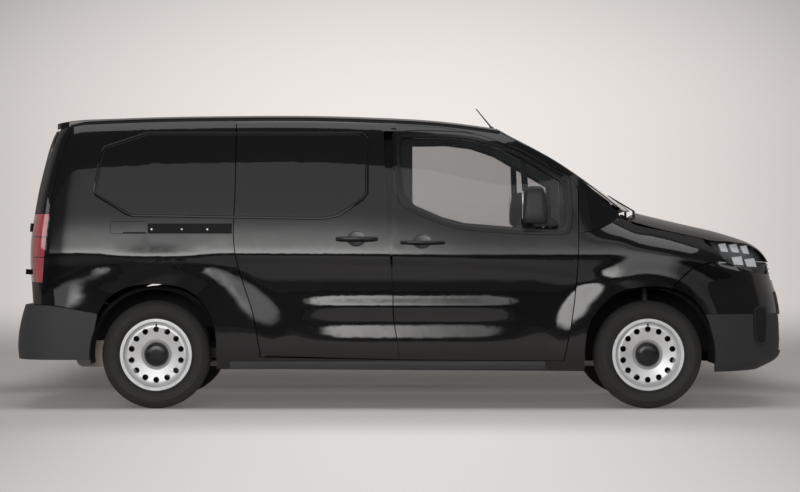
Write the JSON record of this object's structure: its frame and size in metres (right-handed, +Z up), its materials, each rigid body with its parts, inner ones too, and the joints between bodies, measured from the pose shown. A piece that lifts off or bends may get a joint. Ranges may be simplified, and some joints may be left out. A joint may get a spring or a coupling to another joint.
{
  "type": "panel van",
  "caption": "Compact panel van with closed load space, twin rear doors, sliding side doors, opening bonnet and front doors, and steered front wheels.",
  "frame": {"origin": "on the ground, midway along the overall length, on the centreline", "axes": "+X to the front, +Y to the van's left, +Z up"},
  "size_m": [4.7525, 2.106, 1.8585],
  "materials": {
    "paint": "gloss",
    "glass": "clear",
    "clear_lens": "clear",
    "red_lens": "gloss",
    "dark_plastic": "satin",
    "grained_plastic": "grained",
    "wheel_silver": "satin",
    "tyre": "matte",
    "cast_iron": "rough",
    "black_steel": "satin",
    "exhaust_steel": "dull",
    "seat_cloth": "woven"
  },
  "bodies": {
    "body_shell": {"quarter_panel_right": "paint", "sliding_door_right": "paint", "front_wing_right": "paint", "side_frame_right": "paint", "headlamp_right": "clear_lens", "tail_lamp_right": "red_lens", "quarter_panel_left": "paint", "sliding_door_left": "paint", "front_wing_left": "paint", "side_frame_left": "paint", "headlamp_left": "clear_lens", "tail_lamp_left": "red_lens", "roof_panel": "paint", "windscreen": "glass", "front_bumper": "paint", "grille": "dark_plastic", "lower_intake": "dark_plastic", "rear_bumper": "grained_plastic", "rear_frame": "paint", "floor": "paint", "front_frame": "paint", "bulkhead": "paint", "dashboard": "grained_plastic", "cowl": "dark_plastic", "engine_block": "cast_iron", "seats": "seat_cloth", "steering_wheel": "dark_plastic", "front_subframe": "black_steel", "rear_axle": "black_steel", "exhaust": "exhaust_steel", "fuel_tank": "dark_plastic", "antenna": "dark_plastic", "wipers": "dark_plastic"},
    "front_door_right_body": {"front_door_right": "paint", "door_glass_right": "glass", "mirror_right": "dark_plastic"},
    "steer_right_body": {"knuckle_right": "cast_iron"},
    "rear_door_right_body": {"rear_door_right": "paint"},
    "wheel_front_right": {"tyre_front_right": "tyre", "rim_front_right": "wheel_silver"},
    "wheel_rear_right": {"tyre_rear_right": "tyre", "rim_rear_right": "wheel_silver"},
    "front_door_left_body": {"front_door_left": "paint", "door_glass_left": "glass", "mirror_left": "dark_plastic"},
    "steer_left_body": {"knuckle_left": "cast_iron"},
    "rear_door_left_body": {"rear_door_left": "paint"},
    "wheel_front_left": {"tyre_front_left": "tyre", "rim_front_left": "wheel_silver"},
    "wheel_rear_left": {"tyre_rear_left": "tyre", "rim_rear_left": "wheel_silver"},
    "bonnet_body": {"bonnet": "paint"}
  },
  "joints": [
    {"name": "front_door_right_hinge", "type": "hinge", "parent": "body_shell", "child": "front_door_right_body", "pos_m": [1.062, -0.925, 0.8], "axis": [0, 0, 1], "range_deg": [0, 68]},
    {"name": "rear_door_right_hinge", "type": "hinge", "parent": "body_shell", "child": "rear_door_right_body", "pos_m": [-2.284, -0.655, 0.96], "axis": [0.0995, 0, 0.995], "range_deg": [0, 180]},
    {"name": "steer_right", "type": "hinge", "parent": "body_shell", "child": "steer_right_body", "pos_m": [1.4845, -0.7107, 0.326], "axis": [0, 0.1894, 0.9819], "range_deg": [-35, 35]},
    {"name": "wheel_front_right_spin", "type": "hinge", "parent": "steer_right_body", "child": "wheel_front_right", "pos_m": [1.4845, -0.7765, 0.326], "axis": [0, 1, 0], "continuous": true},
    {"name": "wheel_rear_right_spin", "type": "hinge", "parent": "body_shell", "child": "wheel_rear_right", "pos_m": [-1.4905, -0.7835, 0.326], "axis": [0, 1, 0], "continuous": true},
    {"name": "front_door_left_hinge", "type": "hinge", "parent": "body_shell", "child": "front_door_left_body", "pos_m": [1.062, 0.925, 0.8], "axis": [0, 0, -1], "range_deg": [0, 68]},
    {"name": "rear_door_left_hinge", "type": "hinge", "parent": "body_shell", "child": "rear_door_left_body", "pos_m": [-2.284, 0.655, 0.96], "axis": [-0.0995, 0, -0.995], "range_deg": [0, 180]},
    {"name": "steer_left", "type": "hinge", "parent": "body_shell", "child": "steer_left_body", "pos_m": [1.4845, 0.7107, 0.326], "axis": [0, -0.1894, 0.9819], "range_deg": [-35, 35]},
    {"name": "wheel_front_left_spin", "type": "hinge", "parent": "steer_left_body", "child": "wheel_front_left", "pos_m": [1.4845, 0.7765, 0.326], "axis": [0, 1, 0], "continuous": true},
    {"name": "wheel_rear_left_spin", "type": "hinge", "parent": "body_shell", "child": "wheel_rear_left", "pos_m": [-1.4905, 0.7835, 0.326], "axis": [0, 1, 0], "continuous": true},
    {"name": "bonnet_hinge", "type": "hinge", "parent": "body_shell", "child": "bonnet_body", "pos_m": [1.34, 0, 1.165], "axis": [0, -1, 0], "range_deg": [0, 55]}
  ],
  "couplings": [
    {"joint": "steer_left", "follows": "steer_right", "ratio": 1}
  ]
}
